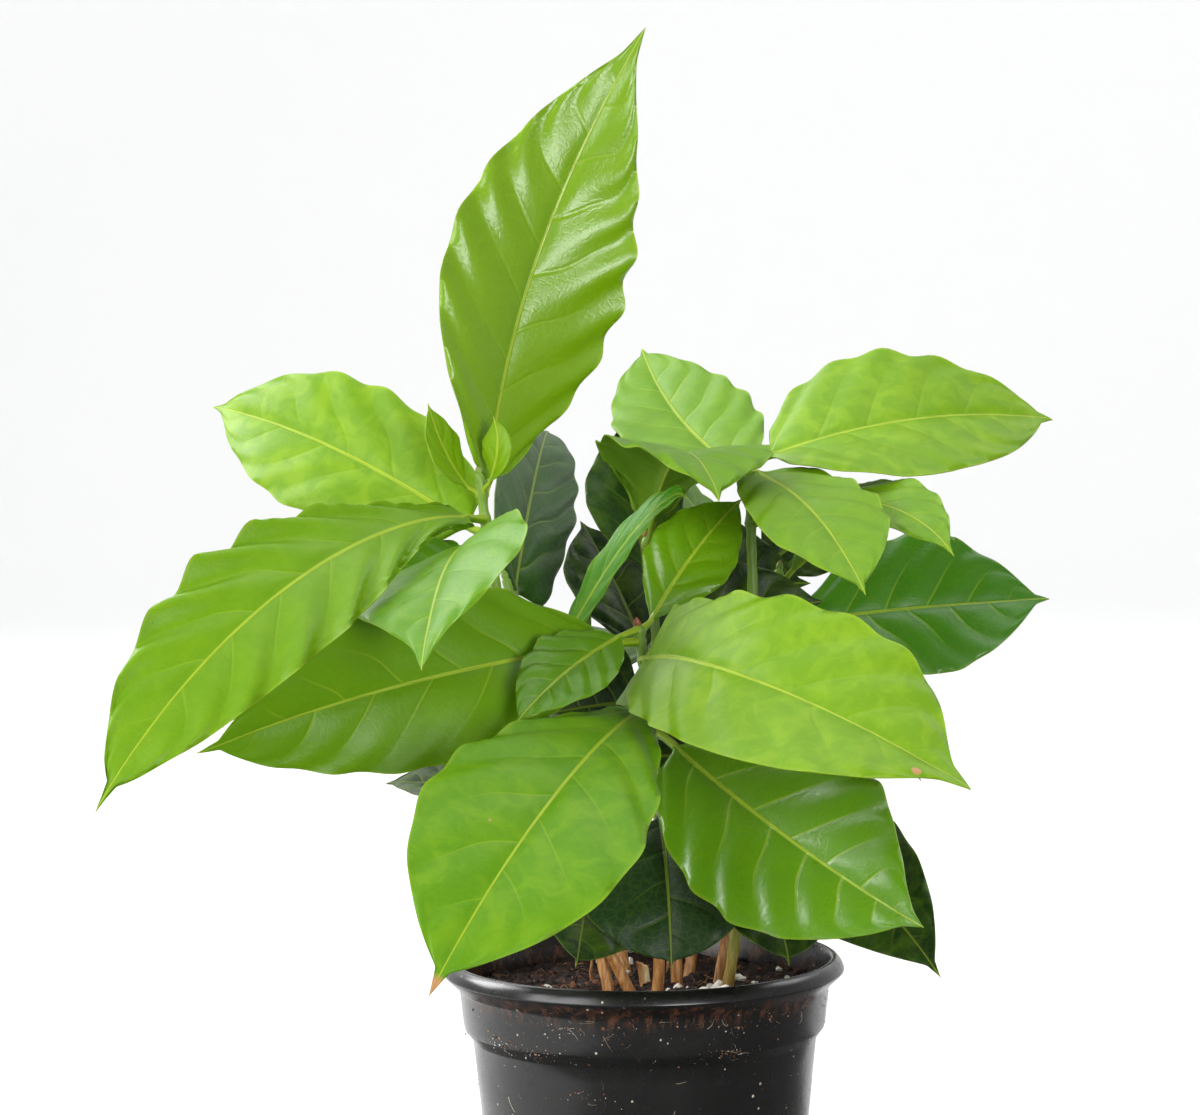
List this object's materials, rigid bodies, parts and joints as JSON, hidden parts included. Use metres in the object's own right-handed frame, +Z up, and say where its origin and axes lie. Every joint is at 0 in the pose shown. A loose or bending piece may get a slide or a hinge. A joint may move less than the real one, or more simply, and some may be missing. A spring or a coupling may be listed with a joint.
{
  "type": "potted coffee plant",
  "caption": "Young coffee seedlings with long, waved, glossy green leaves, grouped in a round black nursery pot of soil.",
  "frame": {"origin": "on the pot's axis, on its flat underside", "axes": "+Z up along the pot's axis, -Y towards the side the picture shows, +X to its right"},
  "size_m": [0.2524, 0.2835, 0.3467],
  "materials": {
    "pot_plastic": "satin black moulded polypropylene",
    "peat_soil": null,
    "stem_bark": "thin brown bark, green near the top",
    "cut_wood": "dry cream cut wood",
    "leaf_young": "glossy light green leaf",
    "leaf_mature": "glossy mid green leaf",
    "leaf_dark": "glossy dark green leaf"
  },
  "bodies": {
    "root": {"pot": "pot_plastic", "soil": "peat_soil", "cut_stub": "cut_wood", "stem_a": "stem_bark", "stem_b": "stem_bark", "stem_c": "stem_bark", "stem_d": "stem_bark", "stem_e": "stem_bark", "stem_f": "stem_bark", "stem_g": "stem_bark", "stem_h": "stem_bark", "leaf_a1": "leaf_dark", "leaf_a2": "leaf_dark", "leaf_a3": "leaf_dark", "leaf_a4": "leaf_mature", "leaf_a5": "leaf_young", "leaf_a6": "leaf_young", "leaf_a7": "leaf_young", "leaf_a8": "leaf_young", "leaf_a9": "leaf_young", "leaf_a10": "leaf_young", "leaf_b1": "leaf_dark", "leaf_b2": "leaf_mature", "leaf_b3": "leaf_mature", "leaf_b4": "leaf_young", "leaf_b5": "leaf_mature", "leaf_b6": "leaf_mature", "leaf_b7": "leaf_mature", "leaf_c1": "leaf_dark", "leaf_c2": "leaf_dark", "leaf_c3": "leaf_dark", "leaf_c4": "leaf_young", "leaf_c5": "leaf_young", "leaf_c6": "leaf_young", "leaf_c7": "leaf_young", "leaf_c8": "leaf_dark", "leaf_d1": "leaf_mature", "leaf_d2": "leaf_dark", "leaf_e1": "leaf_dark", "leaf_e2": "leaf_dark", "leaf_e3": "leaf_dark", "leaf_e4": "leaf_dark", "leaf_e5": "leaf_young", "leaf_f1": "leaf_dark", "leaf_f2": "leaf_mature", "leaf_g1": "leaf_dark", "leaf_g2": "leaf_dark", "leaf_g3": "leaf_dark", "leaf_g4": "leaf_mature", "leaf_g5": "leaf_young", "leaf_h1": "leaf_dark", "leaf_h2": "leaf_dark", "leaf_h3": "leaf_dark", "leaf_h4": "leaf_mature", "leaf_h5": "leaf_young"}
  },
  "joints": []
}
